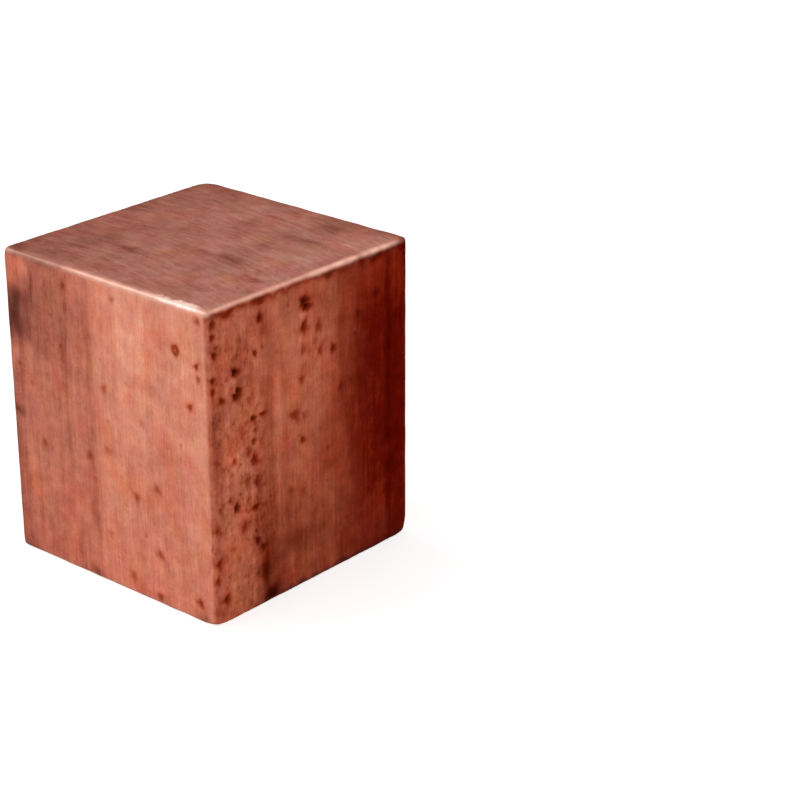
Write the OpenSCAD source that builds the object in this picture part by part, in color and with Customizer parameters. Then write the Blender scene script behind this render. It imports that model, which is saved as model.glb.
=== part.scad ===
// Copper cube: one solid block sawn from drawn square bar.
// The bar runs along Z. The origin is at the middle of the lower sawn end.
// All sizes are in millimetres.

/* [Bar] */
// Width of the square bar across its flats
bar_w = 25.4; // [20:0.1:50]
// Radius of the four edges that run along the bar
bar_edge_r = 0.4; // [0.1:0.05:1.5]

/* [Sawn ends] */
// Length of the block from one sawn end to the other
cut_len = 29.2; // [20:0.1:60]
// Width of the filed bevel around the top end
top_bevel = 0.25; // [0.1:0.05:1]
// Width of the filed bevel around the foot end
foot_bevel = 0.25; // [0.1:0.05:1]

/* [Wear] */
// How far each corner is knocked back, measured along the block's diagonal
corner_blunt = 0.5; // [0.1:0.05:1]

/* [Hidden] */
$fn = 96;
half_w = bar_w / 2;
half_diagonal = norm([half_w, half_w, cut_len / 2]);
copper = [0.76, 0.45, 0.37];

// Square section of the bar, with a round at each of its four corners.
module bar_section() {
    round_at = half_w - bar_edge_r;
    square([bar_w, 2 * round_at], center = true);
    square([2 * round_at, bar_w], center = true);
    for (x = [-round_at, round_at], y = [-round_at, round_at])
        translate([x, y]) circle(r = bar_edge_r);
}

// Side view of the block, with the filed bevel at both ends.
module bevelled_side() {
    polygon([
        [half_w - foot_bevel, 0],
        [half_w, foot_bevel],
        [half_w, cut_len - top_bevel],
        [half_w - top_bevel, cut_len],
        [top_bevel - half_w, cut_len],
        [-half_w, cut_len - top_bevel],
        [-half_w, foot_bevel],
        [foot_bevel - half_w, 0],
    ]);
}

// The side view carried right across the bar, level, in the direction that turn gives.
module bevelled_prism(turn) {
    rotate([90, 0, turn])
        linear_extrude(height = bar_w, center = true) bevelled_side();
}

// Ball about the block's middle that trims nothing but the eight corners.
module corner_ball() {
    translate([0, 0, cut_len / 2]) sphere(r = half_diagonal - corner_blunt);
}

module copper_cube() {
    color(copper)
        intersection() {
            linear_extrude(height = cut_len) bar_section();
            bevelled_prism(0);
            bevelled_prism(90);
            corner_ball();
        }
}

copper_cube();
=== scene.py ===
"""Dresses the copper block: filed edges, knocked corners, pits, tarnish, drawn streaks and saw marks, with
some shade and highlights painted into its colour.

The classes hold lengths in millimetres. The meshes are in metres, in the frame of the CAD model.
"""

import logging
import math
from dataclasses import dataclass, field
from enum import Enum
from functools import partial
from itertools import combinations
from typing import Callable, Optional, Union

import bmesh
import bpy
import numpy as np
from mathutils import Matrix, Vector


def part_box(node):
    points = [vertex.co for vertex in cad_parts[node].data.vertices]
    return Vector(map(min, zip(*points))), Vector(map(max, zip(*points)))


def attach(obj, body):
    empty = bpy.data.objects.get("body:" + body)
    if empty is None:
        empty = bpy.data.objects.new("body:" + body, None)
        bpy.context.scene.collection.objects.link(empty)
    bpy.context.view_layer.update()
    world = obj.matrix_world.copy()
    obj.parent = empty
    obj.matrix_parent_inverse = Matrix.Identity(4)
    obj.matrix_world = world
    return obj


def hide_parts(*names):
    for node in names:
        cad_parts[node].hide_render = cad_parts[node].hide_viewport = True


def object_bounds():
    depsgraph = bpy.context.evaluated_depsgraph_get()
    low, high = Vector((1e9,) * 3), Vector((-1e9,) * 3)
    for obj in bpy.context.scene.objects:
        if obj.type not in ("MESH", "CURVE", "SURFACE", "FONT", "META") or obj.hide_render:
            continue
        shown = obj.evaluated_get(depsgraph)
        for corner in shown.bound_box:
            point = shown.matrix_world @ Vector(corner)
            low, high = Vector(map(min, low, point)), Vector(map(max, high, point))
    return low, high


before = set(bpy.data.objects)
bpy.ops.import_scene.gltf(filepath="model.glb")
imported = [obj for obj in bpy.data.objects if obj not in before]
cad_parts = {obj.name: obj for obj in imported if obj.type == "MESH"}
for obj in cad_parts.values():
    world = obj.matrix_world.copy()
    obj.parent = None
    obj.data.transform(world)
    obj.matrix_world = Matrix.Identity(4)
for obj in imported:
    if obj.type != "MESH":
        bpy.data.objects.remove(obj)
CAD_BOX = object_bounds()

LOG = logging.getLogger("copper_block")
GRAIN_MAP = "grain"
MM = 0.001

# Width of the square bar, length of the cut, and a half size that covers a face evenly.
BAR, _, LENGTH = (np.array(CAD_BOX[1]) - np.array(CAD_BOX[0])) / MM
EVEN = 60.0

Array = np.ndarray
Colour = tuple[float, float, float, float]


def srgb(red: int, green: int, blue: int) -> Colour:
    """Linear colour of three 8-bit display values.

    Args:
        red: Red, 0 to 255.
        green: Green, 0 to 255.
        blue: Blue, 0 to 255.
    Returns:
        The linear colour, with an alpha of 1.
    """
    linear = []
    for value in (red, green, blue):
        share = value / 255
        linear.append(share / 12.92 if share <= 0.04045 else ((share + 0.055) / 1.055) ** 2.4)
    return linear[0], linear[1], linear[2], 1.0


@dataclass(frozen=True)
class Wander:
    """Smooth noise that is the same on each run: its strength, the distance between highs, and its seed."""

    strength: float
    length: float
    seed: int
    waves: int = 7

    def at(self, points: Array, turn: int = 0) -> Array:
        """The noise at places.

        Args:
            points: One row of coordinates for each place.
            turn: Picks one of many patterns of the same kind.
        Returns:
            One value for each row, mostly between minus and plus the strength.
        """
        draw = np.random.default_rng(self.seed + turn)
        total = np.zeros(len(points))
        for _ in range(self.waves):
            heading = draw.normal(size=points.shape[1])
            heading *= draw.uniform(0.6, 1.7) / np.linalg.norm(heading)
            total += np.sin(math.tau / self.length * (points @ heading) + draw.uniform(0, math.tau))
        return self.strength * total / math.sqrt(self.waves)


class Side(Enum):
    """The six faces of the block: the direction across, the direction up, and the way each one faces."""

    FRONT = ((1, 0, 0), (0, 0, 1), (0, -1, 0))
    RIGHT = ((0, 1, 0), (0, 0, 1), (1, 0, 0))
    BACK = ((-1, 0, 0), (0, 0, 1), (0, 1, 0))
    LEFT = ((0, -1, 0), (0, 0, 1), (-1, 0, 0))
    TOP = ((1, 0, 0), (0, 1, 0), (0, 0, 1))
    FOOT = ((1, 0, 0), (0, -1, 0), (0, 0, -1))

    @property
    def across(self) -> Array:
        """Unit vector from the face's left edge to its right edge."""
        return np.array(self.value[0], float)

    @property
    def up(self) -> Array:
        """Unit vector from the face's lower edge to its upper edge."""
        return np.array(self.value[1], float)

    @property
    def outward(self) -> Array:
        """Unit vector out of the face."""
        return np.array(self.value[2], float)

    @property
    def sawn(self) -> bool:
        """Whether the face is one of the two sawn ends."""
        return self in (Side.TOP, Side.FOOT)


class Mask(Enum):
    """What marks do to the copper. Each mask is a float attribute of the mesh."""

    TONE = "tone"
    FLUSH = "flush"
    # Dark tarnish, and also a painted shadow along the foot of the right face.
    STAIN = "stain"
    # Red oxide, which also carries painted shade that darkens and reddens the whole right face.
    OXIDE = "oxide"
    PITTED = "pitted"
    # Dark pits and etched places, and also a painted shade line below the top edge of the right face.
    PIT = "pit"
    # Rubbed edges: worn metal and a painted highlight.
    WEAR = "wear"
    FLAKE = "flake"
    SAWN = "sawn"


class PitForm(Enum):
    """Whether a pit is a plain bowl or a ring around a standing middle."""

    BOWL = "bowl"
    RING = "ring"


@dataclass(frozen=True)
class Patch:
    """A soft-edged area of one mask on a face, with its middle, half sizes, strength and crispness."""

    mask: Mask
    across: float
    up: float
    half_across: float
    half_up: float
    strength: float
    crisp: float = 2.0

    def weight(self, across: Array, up: Array) -> Array:
        """Strength of the patch at places on the face.

        Args:
            across: Distance of each place from the face's left edge.
            up: Distance of each place from the face's lower edge.
        Returns:
            One strength for each place.
        """
        sideways = np.abs(across - self.across) / self.half_across
        upright = np.abs(up - self.up) / self.half_up
        return self.strength * np.exp(-(sideways ** self.crisp) - upright ** self.crisp)


# How many lobes each wave in the rim of a pit has, and how far it swings, in radii.
RIM_WAVES = ((2, 0.1), (3, 0.12), (5, 0.11))


@dataclass(frozen=True)
class Pit:
    """A corroded pit in a face: its middle, radius, depth, how dark and how tall it is, and its form."""

    across: float
    up: float
    radius: float
    depth: float = 0.08
    dark: float = 0.7
    tall: float = 1.15
    form: PitForm = PitForm.BOWL

    def reach(self, across: Array, up: Array) -> Array:
        """Distance of places from the pit's middle, where 1 is its uneven rim.

        Args:
            across: Distance of each place from the face's left edge.
            up: Distance of each place from the face's lower edge.
        Returns:
            One distance for each place, in radii.
        """
        sideways = across - self.across
        upright = (up - self.up) / self.tall
        angle = np.arctan2(upright, sideways)
        turn = 7.3 * self.across + 3.1 * self.up
        swing = 0.4 if self.form is PitForm.RING else 1.0
        rim = np.ones_like(angle)
        for order, (lobes, amount) in enumerate(RIM_WAVES, start=1):
            rim += swing * amount * np.cos(lobes * angle + order * turn)
        return np.hypot(sideways, upright) / (self.radius * rim)

    def shade(self, reach: Array) -> Array:
        """How dark the pit is.

        Args:
            reach: Distances from the pit's middle, in radii.
        Returns:
            One darkness for each distance.
        """
        if self.form is PitForm.RING:
            return self.dark * np.exp(-(((reach - 0.5) / 0.55) ** 2))
        return self.dark * np.exp(-(reach ** 2.3))

    def sink(self, reach: Array) -> Array:
        """How deep the pit is.

        Args:
            reach: Distances from the pit's middle, in radii.
        Returns:
            One depth for each distance.
        """
        if self.form is PitForm.RING:
            return self.depth * np.exp(-(((reach - 0.7) / 0.3) ** 2))
        return self.depth * np.clip(1 - reach ** 2, 0, 1) ** 2

    def rim_highlight(self, across: Array, up: Array) -> Array:
        """How much lighter the lower left rim of the pit is, a painted highlight.

        Args:
            across: Distance of each place from the face's left edge.
            up: Distance of each place from the face's lower edge.
        Returns:
            One amount for each place.
        """
        sideways = across - self.across + 0.9 * self.radius
        upright = (up - self.up) / self.tall + 0.9 * self.radius
        return 0.16 * self.dark ** 2 * np.exp(-(sideways ** 2 + upright ** 2) / (0.8 * self.radius) ** 2)


Mark = Union[Patch, Pit]


@dataclass(frozen=True)
class EdgeWearAndHighlight:
    """A rubbed stretch of the edge between two faces, made lighter as worn metal and as a painted highlight.

    It runs from start to stop along the first face, and its width changes from one end to the other. On the
    second face it is wider by the spread.
    """

    first: Side
    second: Side
    start: float
    stop: float
    width: float
    end_width: float
    strength: float
    spread: float = 1.0


@dataclass(frozen=True)
class Knock:
    """A blunted corner where three faces meet: how far it is knocked back, and how far around that shows."""

    sides: tuple[Side, Side, Side]
    drop: float
    reach: float


def scatter(seed: int, count: int, across: tuple[float, float], up: tuple[float, float],
            radius: tuple[float, float], dark: tuple[float, float], draws: int = 1) -> list[Mark]:
    """Small pits at random places in a rectangle of a face, the same on each run.

    Args:
        seed: Picks the places.
        count: How many pits there are.
        across: Left and right limits.
        up: Lower and upper limits.
        radius: Smallest and largest radius.
        dark: Least and greatest darkness.
        draws: Random places that each place is the mean of. More of them bunch the pits in the middle.
    Returns:
        The pits.
    """
    draw = np.random.default_rng(seed)
    pits: list[Mark] = []
    for _ in range(count):
        size = draw.uniform(*radius)
        place = draw.uniform(*across, draws).mean(), draw.uniform(*up, draws).mean()
        pits.append(Pit(*place, size, 0.22 * size, draw.uniform(*dark)))
    return pits


def streaks(seed: int, count: int, strength: float) -> list[Mark]:
    """Drawn streaks at random places on a side face, lighter and darker, the same on each run.

    Args:
        seed: Picks the places.
        count: How many streaks there are.
        strength: Greatest strength.
    Returns:
        The streaks.
    """
    draw = np.random.default_rng(seed)
    found: list[Mark] = []
    for _ in range(count):
        place = draw.uniform(0, BAR), draw.uniform(0, LENGTH)
        half = draw.uniform(0.2, 0.9), draw.uniform(2.0, 9.0)
        found.append(Patch(Mask.TONE, *place, *half, draw.uniform(-strength, strength)))
    return found


# Short names for the patches of each mask. Their other fields follow in the order of the class.
PatchMaker = Callable[..., Patch]
tone: PatchMaker = partial(Patch, Mask.TONE)
flush: PatchMaker = partial(Patch, Mask.FLUSH)
stain: PatchMaker = partial(Patch, Mask.STAIN)
oxide: PatchMaker = partial(Patch, Mask.OXIDE)
pitted: PatchMaker = partial(Patch, Mask.PITTED)
etch_and_shade: PatchMaker = partial(Patch, Mask.PIT)
flake: PatchMaker = partial(Patch, Mask.FLAKE)

# The marks of each face, seen from outside. The first two numbers are the distances of a mark's middle from
# the face's left edge and from its lower edge.
FRONT_MARKS: list[Mark] = [
    # Broad shades, lighter and darker.
    tone(0.8, 2.0, 2.0, 6.0, -0.12),
    tone(4.8, 27.4, 1.5, 1.5, 0.07),
    tone(5.0, 0.0, 6.0, 8.0, 0.03),
    tone(5.2, LENGTH / 2, 6.1, EVEN, -0.14, 30.0),
    tone(5.8, 25.5, 5.2, 6.5, -0.1, 6.0),
    tone(BAR / 2, LENGTH / 2, EVEN, EVEN, 0.03),
    tone(14.0, 0.0, 30.0, 3.0, -0.05),
    tone(14.4, 9.0, 1.6, 4.5, 0.06),
    tone(16.2, 24.0, 1.6, 4.8, 0.11),
    tone(17.5, 27.0, 7.0, 9.0, 0.11),
    tone(19.0, 16.0, 8.0, 6.0, 0.06),
    tone(20.3, 11.5, 1.5, 4.5, -0.12),
    tone(23.8, 24.0, 2.2, 6.0, 0.1),
    # Streaks and small spots, lighter and darker.
    tone(0.2, 10.0, 0.5, 40.0, -0.05),
    tone(1.4, 17.6, 0.6, 1.8, -0.13),
    tone(1.5, 12.4, 0.6, 1.8, 0.1),
    tone(1.6, 26.6, 0.8, 1.0, 0.08),
    tone(2.0, 25.4, 0.9, 0.7, -0.17),
    tone(2.1, 28.0, 1.3, 0.9, 0.22, 3.0),
    tone(2.2, 23.4, 0.5, 1.1, 0.12),
    tone(2.4, 8.0, 0.5, 4.5, 0.06),
    tone(3.0, 19.5, 0.8, 1.6, 0.14),
    tone(3.6, 26.5, 0.35, 1.8, -0.12),
    tone(3.9, 18.0, 0.3, 4.0, -0.03),
    tone(4.0, 10.0, 0.5, 2.0, -0.1),
    tone(4.4, 24.1, 0.6, 1.4, -0.1),
    tone(4.5, 2.5, 0.6, 1.8, -0.11),
    tone(5.0, 25.5, 0.5, 2.0, -0.05),
    tone(6.4, 19.5, 0.4, 5.0, 0.06),
    tone(6.7, 5.5, 0.5, 3.5, 0.07),
    tone(7.1, 21.5, 0.28, 5.0, -0.11),
    tone(7.6, 11.0, 0.3, 3.0, -0.1),
    tone(7.7, 22.5, 0.22, 4.5, -0.08),
    tone(8.5, 6.5, 0.7, 3.0, 0.1),
    tone(8.7, 25.0, 0.5, 4.0, 0.05),
    tone(8.8, 14.0, 0.6, 1.6, 0.09),
    tone(9.5, 26.5, 0.5, 2.5, 0.06),
    tone(10.3, 8.3, 0.75, 4.3, -0.07, 4.0),
    tone(10.6, 19.5, 0.3, 4.5, -0.1),
    tone(11.7, 25.8, 0.6, 1.6, 0.09),
    tone(12.0, 19.0, 0.4, 10.0, 0.07),
    tone(12.6, 26.0, 0.4, 1.2, -0.05),
    tone(12.9, 20.0, 0.7, 4.0, -0.06),
    tone(13.95, 11.0, 0.5, 10.0, 0.07),
    tone(14.6, 24.0, 0.5, 5.0, 0.06),
    tone(15.3, 11.4, 0.5, 1.8, -0.1),
    tone(16.5, 17.5, 0.6, 1.8, 0.08),
    tone(18.0, 24.5, 0.22, 3.8, -0.14),
    tone(18.2, 20.2, 2.4, 0.7, -0.07),
    tone(19.6, 14.6, 0.6, 1.4, -0.12),
    tone(21.5, 17.5, 0.7, 2.2, 0.09),
    tone(24.5, 18.0, 0.9, 2.8, 0.11),
    tone(24.6, 5.0, 0.9, 6.0, 0.05),
    # Rosy places.
    flush(1.4, 27.8, 1.4, 1.2, 0.4, 2.6),
    flush(2.6, 6.0, 1.6, 4.0, 0.2),
    flush(7.9, 7.0, 1.6, 4.5, 0.35),
    flush(9.7, 27.6, 1.6, 1.2, 0.5),
    flush(10.3, 8.0, 0.7, 4.5, 0.45, 4.0),
    flush(14.0, 1.2, 14.0, 1.3, 0.45),
    flush(15.0, 6.0, 8.0, 5.0, 0.15),
    flush(20.0, 12.5, 1.2, 4.0, 0.4),
    flush(21.5, 1.6, 1.4, 0.7, 0.5),
    # Dark tarnish.
    stain(0.0, 12.0, 0.55, 15.0, 0.16, 3.0),
    stain(0.65, 23.2, 1.15, 2.4, 0.72, 6.0),
    stain(0.8, 13.9, 0.8, 0.5, 0.75),
    stain(2.1, 23.2, 1.2, 2.5, 0.42, 5.0),
    stain(3.7, 24.0, 0.35, 5.0, 0.16),
    stain(5.0, 28.8, 1.0, 0.3, 0.45),
    stain(6.5, 25.0, 0.45, 4.5, 0.14),
    stain(10.3, 0.5, 0.7, 0.35, 0.6),
    stain(18.5, 0.6, 0.5, 0.4, 0.4),
    stain(24.0, 0.5, 0.7, 0.4, 0.4),
    # Pits.
    Pit(4.1, 11.5, 0.42, 0.04, 0.38),
    Pit(7.8, 27.4, 0.34, 0.04, 0.4),
    Pit(10.1, 12.0, 0.45, 0.04, 0.42),
    Pit(12.4, 5.0, 0.4, 0.03, 0.25),
    Pit(12.4, 19.0, 0.46, 0.04, 0.42),
    Pit(12.5, 13.1, 0.48, 0.04, 0.3),
    Pit(14.0, 27.6, 0.3, 0.04, 0.35),
    Pit(15.1, 1.7, 0.5, 0.05, 0.4),
    Pit(16.0, 9.7, 0.5, 0.05, 0.45, 0.9),
    Pit(17.1, 17.0, 0.4, 0.03, 0.25),
    Pit(18.5, 0.8, 0.38, 0.05, 0.45),
    Pit(18.6, 11.2, 0.46, 0.05, 0.42),
    Pit(18.7, 4.9, 0.46, 0.05, 0.48),
    Pit(21.55, 24.95, 0.52, 0.05, 0.64, 1.1, PitForm.RING),
    Pit(23.1, 20.2, 0.36, 0.08, 0.6),
    Pit(23.5, 1.8, 0.46, 0.08, 0.6),
    Pit(24.0, 24.1, 0.3, 0.08, 0.75),
    Pit(24.2, 23.0, 0.3, 0.06, 0.5),
    Pit(24.3, 28.2, 0.32, 0.06, 0.45),
    # Small pits, at random.
    *scatter(21, 20, (1.0, 24.6), (0.8, 28.2), (0.14, 0.24), (0.12, 0.32)),
]

RIGHT_MARKS: list[Mark] = [
    # Broad shades, lighter and darker.
    tone(2.6, 6.0, 2.4, 4.0, 0.1),
    tone(2.8, LENGTH / 2, 3.6, EVEN, 0.07, 6.0),
    tone(7.3, 3.5, 1.7, 6.0, -0.26),
    tone(9.6, 6.5, 1.5, 4.0, -0.08),
    tone(10.4, 20.5, 3.6, 6.5, 0.13, 4.0),
    tone(12.0, 4.0, 4.0, 5.0, -0.14),
    tone(14.4, 20.6, 1.6, 2.0, 0.15),
    tone(14.8, 13.0, 1.8, 5.0, -0.08),
    tone(17.3, LENGTH / 2, 2.2, EVEN, -0.07),
    tone(19.0, 27.5, 2.0, 3.5, 0.14),
    tone(20.6, 2.8, 2.8, 4.0, 0.13),
    tone(21.6, 1.9, 2.6, 1.8, 0.12),
    tone(22.3, 27.8, 2.6, 3.2, 0.24),
    tone(24.0, 9.0, 1.6, 6.0, -0.07),
    # Streaks and small spots, lighter and darker.
    # Painted shade: a dark strip along the front edge of the face.
    tone(0.4, LENGTH / 2, 0.4, EVEN, -0.1),
    tone(0.45, 19.5, 0.3, 2.0, -0.08),
    tone(0.7, 17.5, 0.4, 5.0, -0.16),
    tone(0.8, 1.3, 0.9, 1.1, -0.18),
    tone(1.3, 15.0, 0.5, 9.0, -0.06),
    tone(1.9, 11.6, 0.8, 0.9, 0.12),
    tone(2.4, 21.4, 0.6, 1.2, 0.12),
    tone(3.0, 15.0, 1.2, 1.0, 0.1),
    tone(3.2, 14.3, 0.9, 1.2, 0.17),
    tone(4.1, 27.4, 0.7, 1.6, 0.16),
    tone(4.3, 7.5, 0.8, 1.0, -0.13),
    tone(4.7, 3.6, 0.6, 1.2, -0.14),
    tone(5.4, 5.0, 0.9, 5.0, -0.12),
    tone(5.6, 27.6, 0.7, 1.2, -0.14),
    tone(6.0, 9.5, 1.2, 3.0, -0.1),
    tone(7.0, 17.0, 0.8, 6.0, -0.09),
    tone(7.0, 17.9, 0.6, 1.4, -0.1),
    tone(7.2, 25.2, 0.6, 1.4, -0.12),
    tone(7.5, 25.5, 0.6, 1.8, -0.13),
    tone(8.2, 14.0, 0.8, 8.0, 0.08),
    tone(8.2, 27.2, 0.6, 1.6, 0.12),
    tone(8.9, 23.2, 0.7, 1.4, -0.12),
    tone(11.2, 25.8, 0.5, 0.6, 0.1),
    tone(12.0, 0.9, 8.0, 0.7, -0.08),
    tone(12.0, 2.6, 2.2, 0.7, 0.08),
    tone(14.8, 23.5, 0.8, 1.2, 0.15),
    tone(16.4, 23.8, 0.7, 0.9, -0.12),
    tone(16.6, 2.5, 1.0, 3.5, -0.13),
    tone(18.4, 22.0, 1.2, 6.0, 0.06),
    tone(18.8, 19.0, 0.8, 9.0, -0.1),
    tone(21.1, 4.9, 1.0, 1.2, 0.12),
    tone(21.6, 13.0, 0.7, 9.0, -0.06),
    tone(22.8, 14.0, 0.45, EVEN, -0.24),
    tone(24.0, 26.0, 0.5, 8.0, 0.08),
    tone(24.6, 12.0, 0.9, 14.0, -0.1),
    tone(24.6, 27.8, 0.7, 1.4, -0.15),
    # Rosy places.
    flush(7.6, 25.2, 0.8, 1.5, 0.6),
    flush(9.5, 1.8, 2.0, 0.9, 0.5),
    flush(14.2, 1.7, 1.6, 0.9, 0.4),
    flush(15.6, 14.0, 1.4, 3.5, 0.5),
    flush(16.8, 2.4, 0.8, 1.4, 0.3),
    flush(17.3, LENGTH / 2, 2.2, EVEN, 0.75),
    # Red oxide, and painted shade: the whole face is made darker and redder, most of all towards its back
    # edge.
    oxide(12.5, 3.0, 5.0, 5.0, 0.22),
    # Painted shade: the whole face is made darker and redder.
    oxide(BAR / 2, LENGTH / 2, EVEN, EVEN, 0.5),
    oxide(16.5, LENGTH / 2, 2.2, EVEN, 0.33),
    oxide(17.5, 15.0, 1.8, 5.5, 0.4),
    # Red oxide and painted shade, darkest and reddest towards the back edge.
    oxide(26.0, LENGTH / 2, 8.85, EVEN, 1.0, 9.0),
    # Dark tarnish, and a painted shadow along the foot.
    stain(6.4, 2.4, 0.5, 1.8, 0.4, 3.0),
    stain(6.9, 0.6, 1.1, 0.6, 0.95, 3.0),
    # A painted shadow: a dark band along the foot of the face, where it meets the floor.
    stain(16.5, 0.0, 11.0, 0.55, 0.7, 4.0),
    stain(21.8, 1.9, 3.0, 2.0, 0.28),
    # Pitted areas.
    pitted(2.4, LENGTH / 2, 4.2, EVEN, 0.5, 8.0),
    pitted(4.6, 13.0, 2.2, 6.5, 0.5),
    pitted(12.6, 23.0, 3.0, 5.0, 0.25),
    # Etched places, and a painted shade line just below the top edge.
    etch_and_shade(2.5, 28.55, 1.1, 0.35, 0.7),
    etch_and_shade(6.2, 8.2, 0.3, 1.0, 0.3),
    etch_and_shade(6.3, 28.4, 1.0, 0.42, 0.75),
    etch_and_shade(6.4, 3.8, 0.45, 3.0, 0.62),
    etch_and_shade(6.6, 25.9, 0.35, 0.8, 0.3),
    etch_and_shade(7.1, 0.8, 0.9, 0.6, 0.68),
    etch_and_shade(9.8, 4.9, 0.9, 0.8, 0.3),
    etch_and_shade(11.6, 4.9, 0.5, 0.9, 0.25),
    # A painted shade line along the whole face, just below its top edge.
    etch_and_shade(12.0, 28.75, 30.0, 0.3, 0.5),
    etch_and_shade(14.5, 10.8, 1.0, 0.9, 0.3),
    etch_and_shade(14.8, 28.5, 0.9, 0.38, 0.8),
    etch_and_shade(21.0, 28.4, 0.8, 0.4, 0.75),
    # Pits.
    Pit(0.4, 4.4, 0.4, 0.1, 0.6),
    Pit(0.5, 22.0, 0.32),
    Pit(0.5, 23.0, 0.34),
    Pit(0.6, 9.1, 0.45, 0.08, 0.5),
    Pit(0.6, 26.9, 0.3),
    Pit(0.7, 6.0, 0.5, 0.1, 0.6),
    Pit(0.7, 28.0, 0.42, 0.1, 0.7),
    Pit(0.8, 25.2, 0.38, 0.12, 0.8),
    Pit(1.0, 25.8, 0.24, 0.08, 0.6),
    Pit(1.4, 2.3, 0.46, 0.12, 0.75),
    Pit(1.5, 20.9, 0.36, 0.1, 0.7),
    Pit(2.2, 11.4, 0.34, 0.1, 0.5),
    Pit(2.8, 14.95, 0.3, 0.08, 0.6),
    Pit(2.95, 10.5, 0.44, 0.2, 0.92),
    Pit(3.15, 23.0, 0.46, 0.2, 0.98),
    Pit(3.2, 20.8, 0.54, 0.2, 0.88, 0.85),
    Pit(3.5, 21.2, 0.48, 0.2, 0.88, 0.8),
    Pit(3.9, 8.3, 0.55, 0.08, 0.5),
    Pit(4.3, 12.6, 0.46, 0.06, 0.4),
    Pit(4.6, 15.1, 0.42, 0.08, 0.5),
    Pit(5.2, 9.75, 0.46, 0.12, 0.75, 0.9),
    Pit(5.2, 16.0, 0.34, 0.08, 0.6),
    Pit(5.2, 18.15, 0.36, 0.14, 0.85, 1.0),
    Pit(5.25, 14.3, 0.56, 0.12, 0.7),
    Pit(5.4, 6.5, 0.44, 0.12, 0.75, 0.9),
    Pit(5.5, 12.0, 0.46, 0.1, 0.55),
    Pit(5.5, 17.0, 0.32, 0.08, 0.5),
    Pit(5.6, 24.0, 0.3, 0.1, 0.75),
    Pit(6.2, 5.6, 0.48, 0.1, 0.7),
    Pit(6.25, 27.0, 0.44, 0.14, 0.85),
    Pit(6.35, 18.2, 0.52, 0.1, 0.7, 0.5),
    Pit(9.7, 9.7, 0.4, 0.05, 0.3),
    Pit(10.35, 16.75, 0.7, 0.1, 0.6, 0.9),
    Pit(11.2, 9.1, 0.46, 0.07, 0.4),
    Pit(11.3, 14.1, 0.36, 0.1, 0.65),
    Pit(11.3, 19.8, 0.4, 0.08, 0.45),
    Pit(11.5, 16.4, 0.34, 0.06, 0.35),
    Pit(11.6, 22.5, 0.42, 0.08, 0.42),
    Pit(11.7, 24.6, 0.5, 0.12, 0.78, 1.5),
    Pit(11.8, 26.9, 0.7, 0.18, 0.92, 1.05),
    Pit(12.05, 26.4, 0.64, 0.18, 0.92, 0.85),
    Pit(13.1, 23.0, 0.4, 0.05, 0.3),
    Pit(13.55, 24.1, 0.5, 0.08, 0.52, 1.4),
    Pit(13.7, 21.8, 0.4, 0.08, 0.5),
    Pit(15.4, 21.5, 0.5, 0.12, 0.7, 1.0),
    Pit(16.3, 17.6, 0.4, 0.06, 0.4),
    Pit(21.1, 25.0, 0.46, 0.06, 0.45),
    # Small pits, at random.
    *scatter(22, 26, (0.3, 6.6), (0.8, 28.4), (0.17, 0.32), (0.12, 0.36)),
    *scatter(24, 20, (3.8, 6.6), (8.0, 19.0), (0.18, 0.34), (0.15, 0.42)),
    *scatter(23, 14, (8.0, 22.0), (1.0, 28.0), (0.15, 0.26), (0.15, 0.3)),
]

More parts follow.
